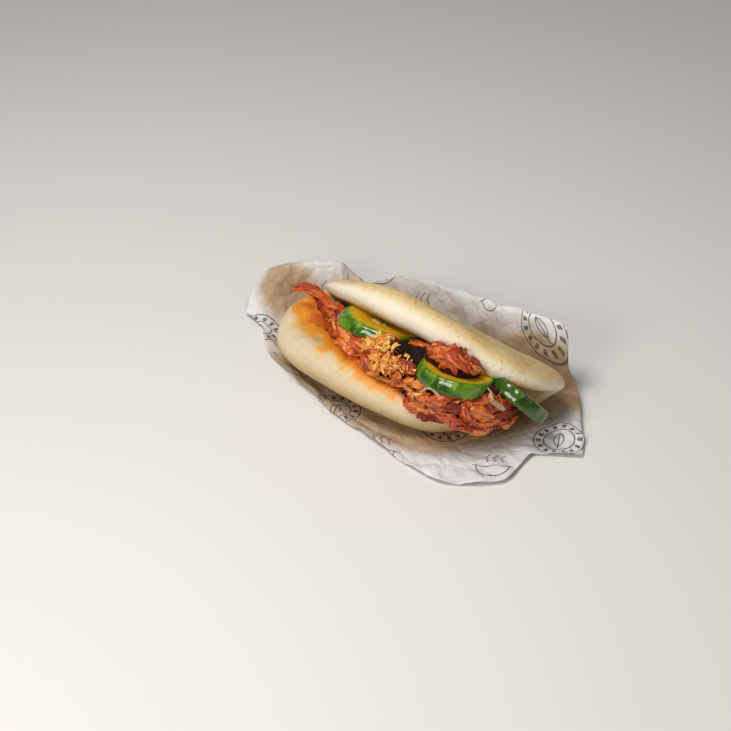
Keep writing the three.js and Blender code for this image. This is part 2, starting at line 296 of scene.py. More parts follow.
# %% Points and faces to a finished piece
def add_piece(name, points, faces, finish, nodes=(), values=None):
    mesh = bpy.data.meshes.new(name)
    mesh.from_pydata([in_frame(p) for p in points], [], faces)
    for value_name, numbers in (values or {}).items():
        vector = hasattr(numbers[0], "__len__")
        kind = "FLOAT_VECTOR" if vector else "FLOAT"
        layer = mesh.attributes.new(value_name, kind, "POINT")
        flat = [x for number in numbers for x in number] if vector else numbers
        layer.data.foreach_set("vector" if vector else "value", flat)
    shape = bmesh.new()
    shape.from_mesh(mesh)
    bmesh.ops.recalc_face_normals(shape, faces=shape.faces)
    shape.to_mesh(mesh)
    shape.free()
    mesh.shade_smooth()
    mesh.materials.append(finish.material)
    piece = bpy.data.objects.new(name, mesh)
    bpy.context.scene.collection.objects.link(piece)
    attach(piece, "root")
    if nodes:
        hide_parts(*nodes)
    triangles = sum(len(face) - 2 for face in faces)
    print(name, "has", triangles, "triangles")
    return piece


def turned(profile, sectors, place):
    """Points and faces of a closed form. The profile of (radius, height) starts and ends on the
    axis, and place(radius, turn, height) puts each point of the turned profile in space."""
    rows = profile[1:-1]
    turns = [math.tau * i / sectors for i in range(sectors)]
    points = [place(r, turn, h) for r, h in rows for turn in turns]
    faces = []
    for row in range(len(rows) - 1):
        for i in range(sectors):
            a, b = row * sectors + i, row * sectors + (i + 1) % sectors
            faces.append((a, b, b + sectors, a + sectors))
    last = (len(rows) - 1) * sectors
    for (r, h), row in ((profile[0], 0), (profile[-1], last)):
        points.append(place(r, 0, h))
        pole = len(points) - 1
        faces += [(pole, row + i, row + (i + 1) % sectors) for i in range(sectors)]
    return points, faces


class Batch:
    """Many small parts gathered into one mesh, with the values that their points carry."""

    def __init__(self):
        self.points, self.faces, self.values = [], [], {}

    def take(self, points, faces, **values):
        first = len(self.points)
        self.points += points
        self.faces += [tuple(first + i for i in face) for face in faces]
        for name, numbers in values.items():
            self.values.setdefault(name, []).extend(numbers)


# %% [markdown]
# ## The shape of the dough
#
# The raw dough is rolled to an oval, oiled and folded, and it stays folded while it steams. So the
# bread is made as it is in the kitchen: a flat oval with a round rim, bent along a line of three
# arcs. The lower half cups up a little towards its lip, a tight arc makes the fold, and the lid
# lies nearly straight above. A real bun is never even, so the halves lie askew and the lid droops
# towards one end.

# %% The bent oval
FLOOR = 0.8  # top of the sheet of paper under the bread
LOWER_LENGTH, LID_LENGTH = 123, 118
LOWER_DEPTH, LID_DEPTH = 47, 38.5
LOWER_BREAD, LID_BREAD = 14.5, 12
FOLD_RADIUS = 5.8
LID_OPENING, LID_DROOP, LID_ENDS = math.radians(51), math.radians(13), math.radians(10)
LOWER_CUP, LID_CROWN = math.radians(24), math.radians(3)
LOWER_SAG = 0.6  # share of the lower half's curl that the filling presses flat, at the right
LEFT_LIFT = 6  # how much higher the lower half's left end curls up beside the fold
LOWER_SLIP, LID_SLIP = -12, 6
RIGHT_SHORT = 0.2  # share of its half length by which the lower half ends short at the right
LEFT_TAPER, RIGHT_TAPER, PUFF = 0.42, 0.3, 0.18
LOWER_FULLNESS, LID_FULLNESS = 2.7, 2.4
RIM = 0.13


def fold_turn(x):
    """How far the bread turns round the fold at a place along it."""
    end = x / (LID_LENGTH / 2)
    droop = LID_DROOP * max((1 + end) / 2, 0) ** 1.5
    return math.pi - LID_OPENING + droop + LID_ENDS * end**2


def middle_of_bread(x, s):
    """y, z and heading of the bread's middle at s mm past the fold's start."""
    turn = fold_turn(x)
    fold_end = FOLD_RADIUS * turn
    floor = FLOOR + LOWER_BREAD / 2
    if s < 0:
        k = LOWER_CUP * (1 - LOWER_SAG * smoothstep(x, -35, 30)) / LOWER_DEPTH
        return math.sin(k * s) / k, floor + (1 - math.cos(k * s)) / k, k * s
    if s < fold_end:
        heading = s / FOLD_RADIUS
        y = FOLD_RADIUS * math.sin(heading)
        return y, floor + FOLD_RADIUS * (1 - math.cos(heading)), heading
    k = LID_CROWN / LID_DEPTH
    heading = turn + k * (s - fold_end)
    y = FOLD_RADIUS * math.sin(turn) + (math.sin(heading) - math.sin(turn)) / k
    z = floor + FOLD_RADIUS * (1 - math.cos(turn)) + (math.cos(turn) - math.cos(heading)) / k
    return y, z, heading


def bread_point(u, v, out):
    """u and v are places on the oval, and out is how far off its middle, above 0 outside."""
    fold_middle = FOLD_RADIUS * fold_turn(0) / 2
    reach = (LOWER_DEPTH if v < 0 else LID_DEPTH) + fold_middle
    half = mix(LID_LENGTH, LOWER_LENGTH, smoothstep(-v, 0, 0.5)) / 2
    short = RIGHT_SHORT * smoothstep(u, 0.2, 1) * smoothstep(-v, -0.15, 0.25)
    x = half * u * (1 - short) + (-LOWER_SLIP if v < 0 else LID_SLIP) * v
    y, z, heading = middle_of_bread(x, fold_middle + v * reach)
    lift = LEFT_LIFT * smoothstep(-x, 32, 62) * (1 - smoothstep(abs(v + 0.25), 0.1, 0.6))
    return Vector((x, y + out * math.sin(heading), z - out * math.cos(heading) + lift))


def half_thickness(u, v, r):
    bread = mix(LOWER_BREAD, LID_BREAD, smoothstep(v, -0.1, 0.1))
    puff = 1 + PUFF * (1 - r * r) * smoothstep(abs(v), 0.1, 0.5)
    loss = LEFT_TAPER * smoothstep(-u, 0.25, 1) + RIGHT_TAPER * smoothstep(u, 0.6, 1)
    return bread / 2 * puff * (1 - loss * smoothstep(v, -0.2, 0.1))


print("the lid's lip is", round(bread_point(0, 1, 0).z, 1), "mm above the table")

# %% [markdown]
# ## The dough's own unevenness
#
# Steamed dough is smooth but not machined. It has soft swellings a few centimetres across from the
# rolling, and shallow dents where fingers held it. These change the outline, so they belong in the
# mesh and not in a bump map. Noise moves each point in or out along the thickness of the bread,
# which can't tear the surface or shift the fold.
#
# The left of the lower half's inner face is lumpier than the rest, from pressing the filling in.
# Each point also carries whether it is on the lid, and how near it is to a lip, where the finish
# paints a highlight. The finish uses both later on.

# %% Bread points
FACE_RINGS, RIM_STEPS, BREAD_SECTORS = 36, 20, 280
BROAD_SWELL, SMALL_SWELL, INNER_LUMPS = 0.6, 0.32, 1.3  # mm high
bread_lid, bread_lip_highlight = [], []


def dough_swell(place, lumpy):
    broad = BROAD_SWELL * noise.noise(place / 24)
    small = SMALL_SWELL * noise.noise(place / 9 + Vector((7, 3, 1)))
    return broad + small + lumpy * INNER_LUMPS * noise.noise(place / 6)


def oval_point(r, turn, h):
    power = LOWER_FULLNESS if math.sin(turn) < 0 else LID_FULLNESS
    around = abs(math.cos(turn)) ** power + abs(math.sin(turn)) ** power
    u = r * math.cos(turn) * around ** (-1 / power)
    v = r * math.sin(turn) * around ** (-1 / power)
    out = h * half_thickness(u, v, r)
    lumpy = smoothstep(-u, 0.15, 0.55) * smoothstep(-v, 0, 0.25) * smoothstep(-h, 0, 0.6)
    out += h * dough_swell(bread_point(u, v, out), lumpy)
    point = bread_point(u, v, out)
    point.z = max(point.z, FLOOR)
    bread_lid.append(smoothstep(v, -0.1, 0.1))
    # The lip value marks a painted highlight along the lips, on one side of the bread and weaker on
    # the lower half.
    lower_side = 1 - smoothstep(h, -0.3, 0.8)
    bread_lip_highlight.append(smoothstep(r, 0.86, 0.95) * lower_side * mix(0.5, 1, bread_lid[-1]))
    return point


face = [(i / FACE_RINGS * (1 - RIM), -1) for i in range(FACE_RINGS)]
rim_turns = [math.pi * i / RIM_STEPS for i in range(RIM_STEPS + 1)]
rim = [(1 - RIM + RIM * math.sin(t), -math.cos(t)) for t in rim_turns]
oval = face + rim + [(r, -h) for r, h in reversed(face)]
bread_points, bread_faces = turned(oval, BREAD_SECTORS, oval_point)
print("the bread has", len(bread_points), "points")

# %% [markdown]
# ## Keeping the filling on the bread
#
# Shreds of meat lie on the dough and not in it. A tree of the bread's inner face finds the nearest
# place on it for any point, and a point that is too low is lifted along the face's normal. This is
# cheaper than a cloth or rigid body simulation for hundreds of shreds, and it gives the same
# result on every run.

# %% A point lifted clear of the bread
inner_rows = FACE_RINGS + RIM_STEPS // 2
inner_faces = bread_faces[: (inner_rows - 1) * BREAD_SECTORS]
inner_tree = BVHTree.FromPolygons(bread_points, inner_faces)
below = inner_tree.ray_cast(Vector((0, -25, 30)), Vector((0, 0, -1)))
INWARDS = 1 if below[1].z > 0 else -1


def clear_of_bread(point, clearance):
    nearest, normal, _, _ = inner_tree.find_nearest(point)
    height = (point - nearest).dot(normal) * INWARDS
    if height < clearance:
        point = point + normal * INWARDS * (clearance - height)
    return point


print("the inner face of the lower half is", round(below[0].z, 1), "mm up, at the middle")

# %% [markdown]
# ## Cucumber slices
#
# The slices are cut on the slant, so each is an oval disc whose skin runs along another direction
# than the one that its face looks in. A turned profile with three separate axes makes that in one
# step: along and across the face, and through it. The skin bulges a little and has shallow ribs,
# and the middle of the face, where the seeds are, is softer and lies a little lower.
#
# The right slice lies in the lid's shade, so each slice also says how much painted shade darkens
# its skin.

# %% The three slices
CUCUMBER = 34  # diameter
SLICE_SECTORS = 128
CLEAR_FROM, CLEAR_TO = 0.74, 1.04  # how far out a slice's upper face is kept clear of pork
SLICES = {
    "cucumber_left": {
        "centre": (-15, -17.4, 28.2),
        "along": (0.87, 0.44, -0.23),
        "across": (0.5, -0.81, 0.3),
        "through": (0.45, 0.58, 0.68),
        "stretch": 1.02,
        "thickness": 5.7,
        "ripe": 0,
    },
    "cucumber_middle": {
        "centre": (29, -28.4, 28.3),
        "along": (0.86, 0.48, -0.18),
        "across": (0.51, -0.8, 0.3),
        "through": (0.12, 0.47, 0.88),
        "stretch": 0.88,
        "thickness": 6.4,
        "ripe": 0.1,
    },
    "cucumber_right": {
        "centre": (48, -12.3, 17.2),
        "along": (0.84, 0.17, -0.51),
        "across": (0.49, -0.68, 0.54),
        "through": (0.25, 0.7, 0.67),
        "stretch": 0.86,
        "thickness": 6,
        "ripe": 1,
    },
}


def slice_axes(slice):
    """A matrix whose columns are the slice's half length, half width and thickness."""
    along = Vector(slice["along"]) * CUCUMBER / 2 * slice["stretch"]
    across = Vector(slice["across"]) * CUCUMBER / 2
    through = Vector(slice["through"]) * slice["thickness"]
    return Matrix((along, across, through)).transposed()


def slice_point(slice, a, b, c):
    return Vector(slice["centre"]) + slice_axes(slice) @ Vector((a, b, c))


def place_in_slice(slice, point):
    """A point in the slice's own axes, and how far out it is, 1 at the skin."""
    a, b, c = slice_axes(slice).inverted() @ (point - Vector(slice["centre"]))
    return a, b, c, math.hypot(a, b)


def slice_profile():
    """(radius, height) from the middle of one face round the skin to the middle of the other."""
    face = [(i / 24 * 0.94, 0.5 - 0.05 * (1 - smoothstep(i / 24, 0.25, 0.6))) for i in range(25)]
    shoulder = [(0.965, 0.49), (0.985, 0.455), (0.998, 0.4), (1.006, 0.3), (1.013, 0.15)]
    half = face + shoulder
    return half + [(1.015, 0)] + [(r, -h) for r, h in reversed(half)]


def in_the_way(point, margin):
    """Whether a point is in a slice that is shrunk by margin, a share of its size, or over the
    part of its upper face that shows between the skin and the pork."""
    for slice in SLICES.values():
        a, b, c, out = place_in_slice(slice, point)
        if out < 1 - margin and abs(c) < 0.5 - margin:
            return True
        if b > 0.1 and CLEAR_FROM < out < CLEAR_TO and 0 < c < 1:
            return True
    return False


slice_meshes = {}
for name, slice in SLICES.items():
    own = []

    def on_slice(r, turn, h):
        rib = 1 + 0.009 * math.cos(11 * turn) + 0.005 * math.cos(17 * turn + 1)
        soft = 0.03 * noise.noise(Vector((4 * r * math.cos(turn), 4 * r * math.sin(turn), h)))
        a, b = r * math.sin(turn) * rib, r * math.cos(turn) * rib
        own.append((a, b, h))
        return slice_point(slice, a, b, h * (1 + soft))

    slice_meshes[name] = (*turned(slice_profile(), SLICE_SECTORS, on_slice), own)
print("slices:", ", ".join(slice_meshes))

# %% [markdown]
# ## Cucumber finish
#
# Three things make a slice look wet and fresh. The skin is green with paler stripes that run from
# end to end of the cucumber, and it is glossy, for which it has a clear coat. Under the skin lies
# a thin green line. The flesh lets light in, which subsurface scattering gives. It is golden, and
# browner towards the seeds and where sauce has run over it.
#
# The slice's own coordinates are carried on its points, so the stripes follow the skin and the
# rings follow the face, whichever way the slice is turned.

# %% Cucumber material
cucumber = Finish(
    "cucumber",
    Specular_IOR_Level=0.2,
    Subsurface_Weight=0.3,
    Subsurface_Radius=(0.8, 1.0, 0.1),
    Subsurface_Scale=0.002,
    Coat_Roughness=0.04,
)
own = carried(cucumber, "slice_place", "Vector")
place = place_in_mm(cucumber)
level = own * (1, 1, 0)
radius = cucumber.add("ShaderNodeVectorMath", {"operation": "LENGTH"}, {0: level}, "Value")
outwards = level.maths("NORMALIZE", level)
mottle = grain(cucumber, place, 1.6)
stripes = grain(cucumber, outwards + own * (0, 0, 0.12), 0.16, 1.0) + (mottle - 0.5) * 0.25
patches = grain(cucumber, place, 7)
skin = tint(cucumber, patches.fade(0.35, 0.65), "264f04", "62920a")
skin = tint(cucumber, stripes.fade(0.56, 0.7) * 0.6, skin, "a4bf58")
# Painted shade: the skin of the right slice, which lies in the lid's shade, is painted darker.
skin = tint(cucumber, carried(cucumber, "ripe") * 0.65, skin, "1c3a06")
flesh = ramp(
    cucumber,
    radius + (grain(cucumber, place, 3) - 0.5) * 0.16,
    (0.0, "8a6a0a"),
    (0.3, "a07c0c"),
    (0.52, "c4900e"),
    (0.78, "dba812"),
    (0.9, "b9ae20"),
    (0.955, "4c7c10"),
)
flesh = tint(cucumber, patches.fade(0.5, 0.75) * 0.5, flesh, "b0660c")
skin_share = (radius + (mottle - 0.5) * 0.02).fade(0.955, 0.97)
fibres = grain(cucumber, outwards * (6, 6, 6) + own * (2, 2, 0), 1.0)
flesh_bump = fibres * 0.5 + mottle * 0.5
cucumber.wear(
    Base_Color=tint(cucumber, skin_share, flesh, skin),
    Roughness=0.16 + (1 - skin_share) * 0.2 + mottle * 0.08,
    Coat_Weight=0.05 + skin_share * 0.85,
    Normal=bump(cucumber, flesh_bump, 0.12),
)

# %% [markdown]
# ## Cucumber pieces and their seeds
#
# Each slice stands for its own CAD node. The seeds are pale flat drops that point to the middle,
# in three groups. They are small, but they catch the light on a wet face, so they are real bumps
# of mesh that lie half sunk in it. All of them are one piece, and their sizes are shares of the
# slice's own half width.

# %% Slices and seeds
for name, (points, faces, own_places) in slice_meshes.items():
    values = {"slice_place": own_places, "ripe": [SLICES[name]["ripe"]] * len(points)}
    add_piece(name, points, faces, cucumber, [name], values)

seed_finish = Finish(
    "cucumber_seed",
    Base_Color=paint("cfc27c"),
    Subsurface_Weight=0.3,
    Subsurface_Radius=(0.8, 0.8, 0.3),
    Subsurface_Scale=0.001,
)
seed_mottle = grain(seed_finish, place_in_mm(seed_finish), 0.8)
seed_finish.wear(
    Base_Color=tint(seed_finish, seed_mottle, "b7a95c", "dcd190"),
    Roughness=0.12 + seed_mottle * 0.2,
    Normal=bump(seed_finish, seed_mottle, 0.05),
)

SEED_GROUPS = 3
SEED_SPREADS = -0.42, -0.16, 0.12, 0.4  # angles within a group
SEED_HALF_LENGTH, SEED_HALF_WIDTH, SEED_THICKNESS = 0.13, 0.055, 0.07
SEED_SIDES = 0.46, -0.46  # of the slice's thickness, just under its two faces
seeds = Batch()
dice = random.Random(3)
seed_profile = [(math.sin(math.pi * i / 8), math.cos(math.pi * i / 8)) for i in range(9)]
for slice in SLICES.values():
    for group in range(SEED_GROUPS):
        for spread in SEED_SPREADS:
            angle = math.tau * group / SEED_GROUPS + spread + dice.uniform(-0.08, 0.08)
            reach = dice.uniform(0.3, 0.42)
            for side in SEED_SIDES:

                def on_seed(r, turn, h):
                    wide = r * math.cos(turn) * SEED_HALF_WIDTH * (1 + 0.35 * h)
                    out = reach + h * SEED_HALF_LENGTH
                    a = out * math.cos(angle) - wide * math.sin(angle)
                    b = out * math.sin(angle) + wide * math.cos(angle)
                    return slice_point(slice, a, b, side + r * math.sin(turn) * SEED_THICKNESS)

                seeds.take(*turned(seed_profile, 10, on_seed))
add_piece("cucumber_seeds", seeds.points, seeds.faces, seed_finish)

# %% [markdown]
# ## The heap of pork
#
# Pulled pork is hundreds of torn bundles of meat fibre, red with sauce. A solid lump with a bumpy
# finish never looks right, because the shaded gaps between the shreds make most of the picture. So
# there is a core that is painted dark as the shade in those gaps, which fills the mouth of the
# bread, and real strands that lie over it.
#
# The core's surface is a formula: a share along the heap and an angle round it give a point. It is
# the same formula as in the CAD model, so the strands stay in the space of its solid. Where a
# slice's wet face is to show, the core dips down into the slice. Its points carry a tone of painted
# shade, which is nearly black in the deep gaps and in the dip between two slices, and lighter at
# the heap's edges.

# %% Core of the heap
HEAP = [  # x, y, z, radius and reach towards the lid, in mm
    (-60, -8, 18, 3, 3),
    (-43, -14, 20, 6, 4),
    (-25, -21, 21, 12, 5),
    (-5, -25, 21.5, 14, 6),
    (12, -26, 23, 15.5, 9),
    (26, -27, 25, 16.5, 9),
    (37, -26, 24, 16, 8),
    (47, -22, 19, 11, 5),
    (53, -18, 16, 5, 3),
]
HEAP_LENGTH = 113
LID_SIDE = math.radians(225)
HOLLOW = 0.45  # depth, as a share of the radius, of the dip between two slices, which is painted dark as shade
HOLLOW_SHARE, HOLLOW_ANGLE = 0.49, 2.75  # where its middle is
HOLLOW_LENGTH, HOLLOW_WIDTH = 0.045, 0.5  # how far it reaches, as a share and an angle
GAP_SHADE_TONE, EDGE_TONE = -0.65, -0.1  # painted shade in the deep gaps, and the tone at the lower edge and the left end
HOLLOW_SHADE_TONE = -0.6  # painted shade added in the dip


def hollow_at(share, angle):
    """1 in the middle of the dip and 0 well away from it."""
    along, round_it = (share - HOLLOW_SHARE) / HOLLOW_LENGTH, (angle - HOLLOW_ANGLE) / HOLLOW_WIDTH
    return math.exp(-(along**2) - round_it**2)


def through(rows, share):
    """A smooth line through rows of numbers, at a share (0 to 1) of the way along."""
    place = min(max(share, 0), 1) * (len(rows) - 1)
    i = min(int(place), len(rows) - 2)
    t = place - i
    before, a, b, after = (rows[min(max(j, 0), len(rows) - 1)] for j in range(i - 1, i + 3))
    line = []
    for p0, p1, p2, p3 in zip(before, a, b, after):
        bend = 2 * p0 - 5 * p1 + 4 * p2 - p3 + t * (3 * (p1 - p2) + p3 - p0)
        line.append(p1 + 0.5 * t * (p2 - p0 + t * bend))
    return line


def heap_point(share, angle, above):
    """angle 0 faces the table and grows towards the mouth. above is the height over the core."""
    x, y, z, size, to_lid = through(HEAP, share)
    swell = 0.07 * math.sin(share * 23 + 2 * math.sin(angle * 2))
    swell += 0.05 * math.sin(angle * 5 + share * 9)
    round_size = size * (1 + swell - HOLLOW * hollow_at(share, angle))
    facing = math.cos(angle - LID_SIDE)
    radius = min(round_size, to_lid / facing if facing > 0.05 else round_size) + above
    return Vector((x, y - radius * math.sin(angle), z - radius * math.cos(angle)))


def sunk_in_slices(point):
    """The point, moved down into a slice where the slice's upper face is to show."""
    for slice in SLICES.values():
        a, b, c, out = place_in_slice(slice, point)
        if out < 1 and c > SUNK:
            shows = smoothstep(out, 0.5, 0.7) * smoothstep(b, -0.1, 0.2)
            point = slice_point(slice, a, b, mix(c, SUNK, shows))
    return point


SUNK = 0.3  # share of a slice's thickness above its middle, so under its upper face
CORE_DEPTH, CORE_LUMPS = 1.6, 1.3  # mm below the heap's surface, and how uneven that is
CORE_ROWS, CORE_SECTORS, CORE_END_ROWS = 110, 64, 8
core_shade_tones = []


def on_core(r, turn, h):
    # Painted shade: the core's tone is nearly black in the gaps and darker still in the dip.
    in_shaded_gaps = smoothstep(turn, 0.8, 1.5) * smoothstep(h, 0.22, 0.36)
    share = 0.02 + 0.96 * h
    core_shade_tones.append(mix(EDGE_TONE, GAP_SHADE_TONE, in_shaded_gaps) + HOLLOW_SHADE_TONE * hollow_at(share, turn))
    lumps = noise.fractal(Vector((h * 34, math.cos(turn) * 3, math.sin(turn) * 3)), 0.7, 2.1, 4)
    surface = heap_point(share, turn, -CORE_DEPTH + CORE_LUMPS * lumps)
    axis = Vector(through(HEAP, share)[:3])
    return clear_of_bread(sunk_in_slices(axis + (surface - axis) * r), 0.2)


core_profile = []
for i in range(CORE_ROWS + 1):
    from_end = min(i, CORE_ROWS - i, CORE_END_ROWS)
    core_profile.append((math.sin(math.pi * from_end / (2 * CORE_END_ROWS)), i / CORE_ROWS))
core_points, core_faces = turned(core_profile, CORE_SECTORS, on_core)
print("the core has", len(core_points), "points")

# %% [markdown]
# ## One strand
#
# A strand is a tube that tapers to both ends along a curved path. Its cross-section isn't round: a
# few lobes turn slowly along it, as in a twisted bundle of fibres, and noise that is stretched
# along the strand raises ridges on it. A thick strand with high ridges is a torn chunk of meat,
# and a thin smooth one is a single fibre.
#
# The streaks of the finish follow each strand too. For that, every point carries a place in the
# strand's own space, long and thin, in which ordinary noise looks like fibre.

# %% Strand builder
def strand(path, radius, dice, sides, rings=12, ridges=0.15, flat=0.8):
    """Points, faces and fibre places of one tapering strand along a path of points."""
    points, fibre = [], []
    lobes, start, twist = dice.choice((2, 3, 3, 4)), dice.uniform(0, 6), dice.uniform(-2.5, 2.5)
    offset = Vector((dice.uniform(-50, 50), dice.uniform(-50, 50), dice.uniform(-50, 50)))
    line = [Vector(through(path, i / rings)) for i in range(rings + 1)]
    side = Vector((0.3, 0.4, 1))
    length = 0
    for i, spot in enumerate(line):
        heading = (line[min(i + 1, rings)] - line[max(i - 1, 0)]).normalized()
        side = (side - heading * side.dot(heading)).normalized()
        other = heading.cross(side)
        t = i / rings
        taper = 0.15 + 0.85 * math.sin(math.pi * min(max(t, 0.03), 0.97)) ** 0.45
        taper *= 1 + 0.25 * noise.noise(Vector((t * 6, start, lobes)))
        length += (spot - line[max(i - 1, 0)]).length
        for j in range(sides):
            turn = math.tau * j / sides
            place = Vector((math.cos(turn) * radius, math.sin(turn) * radius, length * 0.16))
            lobe = 1 + 0.2 * math.sin(lobes * turn + start + twist * t)
            lobe += ridges * noise.fractal((place + offset) * 1.7, 0.6, 2.2, 4)
            out = side * math.cos(turn) + other * math.sin(turn) * flat
            points.append(spot + out * radius * taper * lobe)
            fibre.append(place + offset)
    faces = []
    for i in range(rings):
        for j in range(sides):
            a, b = i * sides + j, i * sides + (j + 1) % sides
            faces.append((a, b, b + sides, a + sides))
    faces.append(tuple(range(sides)))
    faces.append(tuple(rings * sides + j for j in range(sides)))
    return points, faces, fibre


print("strand builder ready")

# %% [markdown]
# ## Chunks over the core
#
# The chunks are spread evenly over the part of the core that shows, with a golden-ratio step, so
# that no place is bare and none is crowded. Each lies on the core but leans its own way, and it is
# left out where the bread or a slice is in the way. Every piece has its own tone, from dark red
# where sauce has soaked in to orange where it is fresh, and pieces under the lid are painted
# darker, as painted shade. A seeded generator makes every choice, so that the heap is the same each
# time.

# %% Torn chunks
CHUNKS = 120
GOLDEN = 0.618034
LEFT_END, RIGHT_END = 0.14, 0.95  # shares along the heap between which it is covered
LOW, HIGH = 0.75, 3.45  # angles round the heap between which it is covered
BEHIND_SLICE = 70, (0.54, 0.86), (2.3, 3.0)  # count, shares and angles of smaller chunks
PATH_POINTS = 4
OPEN_HOLLOW = 0.4  # no meat where the dip is deeper than this share of its depth, so that its painted shade shows
MOST_LIFTED = 2.8  # mm that the bread may push a piece before it is left out
SOAKED_TONES = 0.0, 0.25, 0.5, 0.75


def lying_on_heap(dice, share, angle, reach, rise):
    """A path over the core that leans its own way, or None where something else is."""
    size = through(HEAP, share)[3]
    lean = dice.gauss(0.15, 0.5)
    path = []
    for i in range(PATH_POINTS):
        end = 2 * i / (PATH_POINTS - 1) - 1
        own_share = share + end * reach * math.cos(lean) / HEAP_LENGTH
        own_angle = angle + end * reach * math.sin(lean) / size
        above = rise + dice.uniform(-0.5, 0.5) - 0.8 * end * end
        path.append(heap_point(min(max(own_share, 0.01), 0.99), own_angle, above))
        if hollow_at(own_share, own_angle) > OPEN_HOLLOW:
            return None
    clear = [clear_of_bread(spot, 0.4) for spot in path]
    if any((a - b).length > MOST_LIFTED for a, b in zip(clear, path)):
        return None
    return None if any(in_the_way(spot, 0.02) for spot in path) else clear


def spread_over_heap(dice, count, shares=(LEFT_END, RIGHT_END), angles=(LOW, HIGH)):
    """Shares and angles that cover the visible side of the core evenly."""
    for i in range(count):
        share = mix(*shares, (i + dice.uniform(0, 1)) / count)
        yield share, mix(*angles, (i * GOLDEN + dice.uniform(0, 0.1)) % 1)


def sauce_and_shade_tone(dice, share, angle):
    """A piece of meat is soaked dark, red or fresh orange. It tends to orange at the left and to
    dark red at the right, and under the lid it is painted darker, as painted shade."""
    soaked = dice.choice(SOAKED_TONES) + dice.uniform(-0.1, 0.15)
    return soaked + mix(0.35, -0.1, share) - 0.35 * smoothstep(angle, 2.8, 3.3)


def add_meat(batch, dice, path, radius, share, angle, brighter=0, **form):
    points, faces, fibre = strand(path, radius, dice, **form)
    tone = sauce_and_shade_tone(dice, share, angle) + brighter
    batch.take(points, faces, fibre=fibre, tone=[tone] * len(points))


pork_chunks = Batch()
dice = random.Random(11)
everywhere = spread_over_heap(dice, CHUNKS)
behind_slice = spread_over_heap(dice, *BEHIND_SLICE)
for size, places in ((1, everywhere), (0.65, behind_slice)):
    for share, angle in places:
        scale = size * min(through(HEAP, share)[3] / 12, 1)
        reach, radius = dice.uniform(3, 7) * size, dice.uniform(1.3, 2.7) * scale
        path = lying_on_heap(dice, share, angle, reach, dice.uniform(-0.9, 0.6))
        if path:
            form = {"sides": 26, "rings": 22, "ridges": 0.7, "flat": 0.7}
            add_meat(pork_chunks, dice, path, radius, share, angle, **form)
print("faces of the chunks:", len(pork_chunks.faces))

# %% [markdown]
# ## Strands and the spill
#
# Thinner strands lie between the chunks, and loose bundles leave the heap: one out of the left
# end, where the lid starts, and several that spill over the lower lip at the right. The loose
# bundles follow paths of their own, the same as in the CAD model. One more bundle lies under the
# lid, behind the middle slice.

# %% Pork strands
STRANDS = 130
LOOSE = [  # radius and path, in mm
    (2.8, [(-70, -9, 19), (-63, -8, 22), (-55, -9, 23), (-47, -13, 24), (-38, -19, 25)]),
    (4.5, [(18, -36, 23), (28, -38, 21), (38, -34, 17), (47, -27, 15)]),
    (4.0, [(34, -32, 19), (43, -29, 16), (49, -21, 16), (50, -14, 17)]),
    (2.6, [(24, -40, 22), (33, -41, 18), (41, -36, 13), (46, -31, 10)]),
    (2.2, [(40, -29, 19), (47, -27, 16), (51, -21, 12), (52, -17, 11)]),
]
UNDER_LID = [(0.55, 2.8), (0.62, 2.75), (0.7, 2.68), (0.78, 2.6), (0.85, 2.5)]
UNDER_LID_RADIUS = 3.2


def bundle(batch, path, radius, count, tone, dice, thick, piece):
    """Adds count strands side by side along a path. thick is the range of their radii, and each
    covers a share of the path that lies in the range of piece."""
    for _ in range(count):
        covers = dice.uniform(*piece)
        start = dice.uniform(0, 1 - covers)
        turn, off = dice.uniform(0, math.tau), radius * math.sqrt(dice.uniform(0, 1))
        lean, size = dice.uniform(-2, 2), dice.uniform(*thick)
        own_path = []
        for i in range(PATH_POINTS):
            share = start + covers * i / (PATH_POINTS - 1)
            spot = Vector(through(path, share))
            way = turn + lean * (share - start)
            place = spot / 4 + Vector((turn, off, lean)) * 3
            wave = Vector([noise.noise(place + Vector((0, 0, 9 * axis))) for axis in range(3)])
            spot += Vector((0, math.cos(way), math.sin(way))) * off + wave * 0.8
            own_path.append(clear_of_bread(spot, size * 0.6))
        if any(in_the_way(spot, 0.04) for spot in own_path):
            continue
        points, faces, fibre = strand(own_path, size, dice, sides=14, ridges=0.5)
        own_tone = tone + dice.uniform(-0.25, 0.25)
        batch.take(points, faces, fibre=fibre, tone=[own_tone] * len(points))


pork_strands = Batch()
for share, angle in spread_over_heap(dice, STRANDS):
    path = lying_on_heap(dice, share, angle, dice.uniform(2.5, 6), dice.uniform(0, 1.3))
    if path:
        radius = dice.uniform(0.4, 1.0)
        add_meat(pork_strands, dice, path, radius, share, angle, sides=10, ridges=0.4)
under_lid = [heap_point(share, angle, 0.5) for share, angle in UNDER_LID]
for radius, path in LOOSE + [(UNDER_LID_RADIUS, under_lid)]:
    thick = (radius * 0.22, radius * 0.42)
    bundle(pork_strands, path, radius * 0.62, int(radius * 6), 0.4, dice, thick, (0.35, 0.7))
print("faces of the strands:", len(pork_strands.faces))

# %% [markdown]
# ## Fine fibres
#
# Torn meat frays. Thin single fibres stand off the chunks and bridge the gaps between them. They
# are too thin to matter one by one, but without them the heap looks moulded. They are the same
# strands with fewer sides, and much thinner.

# %% Pork fibres
FIBRES = 320

pork_fibres = Batch()
for share, angle in spread_over_heap(dice, FIBRES):
    path = lying_on_heap(dice, share, angle, dice.uniform(1.5, 4), dice.uniform(0.4, 1.6))
    if path:
        radius = dice.uniform(0.1, 0.24)
        add_meat(pork_fibres, dice, path, radius, share, angle, 0.1, sides=5, rings=8)
print("faces of the fibres:", len(pork_fibres.faces))
